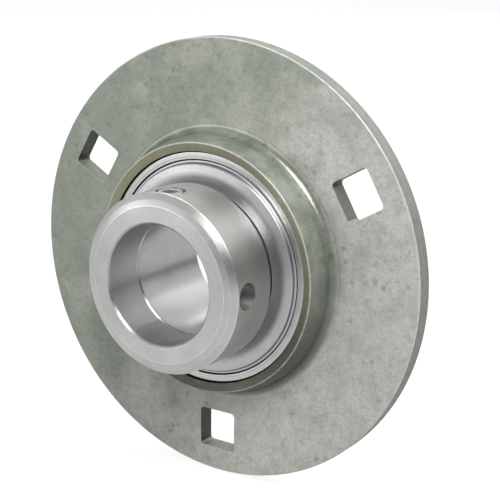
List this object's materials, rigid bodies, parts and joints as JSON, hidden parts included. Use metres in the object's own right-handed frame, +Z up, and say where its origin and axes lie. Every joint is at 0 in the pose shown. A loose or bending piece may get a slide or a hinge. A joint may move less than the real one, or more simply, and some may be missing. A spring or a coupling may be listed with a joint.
{
  "type": "flange bearing unit",
  "caption": "Round pressed-steel flange unit: two sheet shells grip a sealed ball bearing with a spherical outer ring, and an eccentric collar with a grub screw locks it to the shaft.",
  "frame": {"origin": "centre of the bearing, on the shaft axis, in the plane where the two shells meet", "axes": "-Y along the shaft towards the locking collar, +Z up, away from the lower bolt hole"},
  "size_m": [0.095, 0.032, 0.095],
  "materials": {
    "housing": "pressed sheet steel with a mottled matt grey-green phosphate and zinc finish",
    "ring": "ground bearing steel",
    "collar": "fine turned steel with a satin sheen",
    "screw": "plain hardened steel",
    "seal_sheet": "smooth bright sheet steel",
    "seal_rubber": "matt black rubber",
    "cage": "natural moulded nylon",
    "ball": "polished bearing steel"
  },
  "bodies": {
    "housing": {"front_housing_shell": "housing", "rear_housing_shell": "housing"},
    "bearing_outer": {"outer_ring": "ring", "front_seal_outer_washer": "seal_sheet", "front_seal_inner_washer": "seal_sheet", "front_seal_lip": "seal_rubber", "rear_seal_outer_washer": "seal_sheet", "rear_seal_inner_washer": "seal_sheet", "rear_seal_lip": "seal_rubber"},
    "bearing_inner": {"inner_ring": "ring"},
    "collar": {"locking_collar": "collar"},
    "screw": {"grub_screw": "screw"},
    "ball_cage": {"cage": "cage"},
    "rolling_ball_1": {"ball_1": "ball"},
    "rolling_ball_2": {"ball_2": "ball"},
    "rolling_ball_3": {"ball_3": "ball"},
    "rolling_ball_4": {"ball_4": "ball"},
    "rolling_ball_5": {"ball_5": "ball"},
    "rolling_ball_6": {"ball_6": "ball"},
    "rolling_ball_7": {"ball_7": "ball"},
    "rolling_ball_8": {"ball_8": "ball"},
    "rolling_ball_9": {"ball_9": "ball"}
  },
  "joints": [
    {"name": "bearing_swivel", "type": "hinge", "parent": "housing", "child": "bearing_outer", "pos_m": [0, 0, 0], "axis": [1, 0, 0], "range_deg": [-5, 5]},
    {"name": "shaft_spin", "type": "hinge", "parent": "bearing_outer", "child": "bearing_inner", "pos_m": [0, 0, 0], "axis": [0, 1, 0], "continuous": true},
    {"name": "collar_lock", "type": "hinge", "parent": "bearing_inner", "child": "collar", "pos_m": [0, 0, 0], "axis": [0, 1, 0], "range_deg": [-21, 21]},
    {"name": "screw_travel", "type": "slide", "parent": "collar", "child": "screw", "axis": [0, 0, 1], "range_m": [-0.00065, 0.0005]},
    {"name": "cage_spin", "type": "hinge", "parent": "bearing_outer", "child": "ball_cage", "pos_m": [0, 0, 0], "axis": [0, 1, 0], "continuous": true},
    {"name": "ball_1_spin", "type": "hinge", "parent": "ball_cage", "child": "rolling_ball_1", "pos_m": [0, 0, 0.01925], "axis": [0, 1, 0], "continuous": true},
    {"name": "ball_2_spin", "type": "hinge", "parent": "ball_cage", "child": "rolling_ball_2", "pos_m": [-0.01237, 0, 0.01475], "axis": [0, 1, 0], "continuous": true},
    {"name": "ball_3_spin", "type": "hinge", "parent": "ball_cage", "child": "rolling_ball_3", "pos_m": [-0.01896, 0, 0.00334], "axis": [0, 1, 0], "continuous": true},
    {"name": "ball_4_spin", "type": "hinge", "parent": "ball_cage", "child": "rolling_ball_4", "pos_m": [-0.01667, 0, -0.00962], "axis": [0, 1, 0], "continuous": true},
    {"name": "ball_5_spin", "type": "hinge", "parent": "ball_cage", "child": "rolling_ball_5", "pos_m": [-0.00658, 0, -0.01809], "axis": [0, 1, 0], "continuous": true},
    {"name": "ball_6_spin", "type": "hinge", "parent": "ball_cage", "child": "rolling_ball_6", "pos_m": [0.00658, 0, -0.01809], "axis": [0, 1, 0], "continuous": true},
    {"name": "ball_7_spin", "type": "hinge", "parent": "ball_cage", "child": "rolling_ball_7", "pos_m": [0.01667, 0, -0.00962], "axis": [0, 1, 0], "continuous": true},
    {"name": "ball_8_spin", "type": "hinge", "parent": "ball_cage", "child": "rolling_ball_8", "pos_m": [0.01896, 0, 0.00334], "axis": [0, 1, 0], "continuous": true},
    {"name": "ball_9_spin", "type": "hinge", "parent": "ball_cage", "child": "rolling_ball_9", "pos_m": [0.01237, 0, 0.01475], "axis": [0, 1, 0], "continuous": true}
  ],
  "couplings": [
    {"joint": "cage_spin", "follows": "shaft_spin", "ratio": 0.39691},
    {"joint": "ball_1_spin", "follows": "shaft_spin", "ratio": -2.322},
    {"joint": "ball_2_spin", "follows": "shaft_spin", "ratio": -2.322},
    {"joint": "ball_3_spin", "follows": "shaft_spin", "ratio": -2.322},
    {"joint": "ball_4_spin", "follows": "shaft_spin", "ratio": -2.322},
    {"joint": "ball_5_spin", "follows": "shaft_spin", "ratio": -2.322},
    {"joint": "ball_6_spin", "follows": "shaft_spin", "ratio": -2.322},
    {"joint": "ball_7_spin", "follows": "shaft_spin", "ratio": -2.322},
    {"joint": "ball_8_spin", "follows": "shaft_spin", "ratio": -2.322},
    {"joint": "ball_9_spin", "follows": "shaft_spin", "ratio": -2.322}
  ]
}
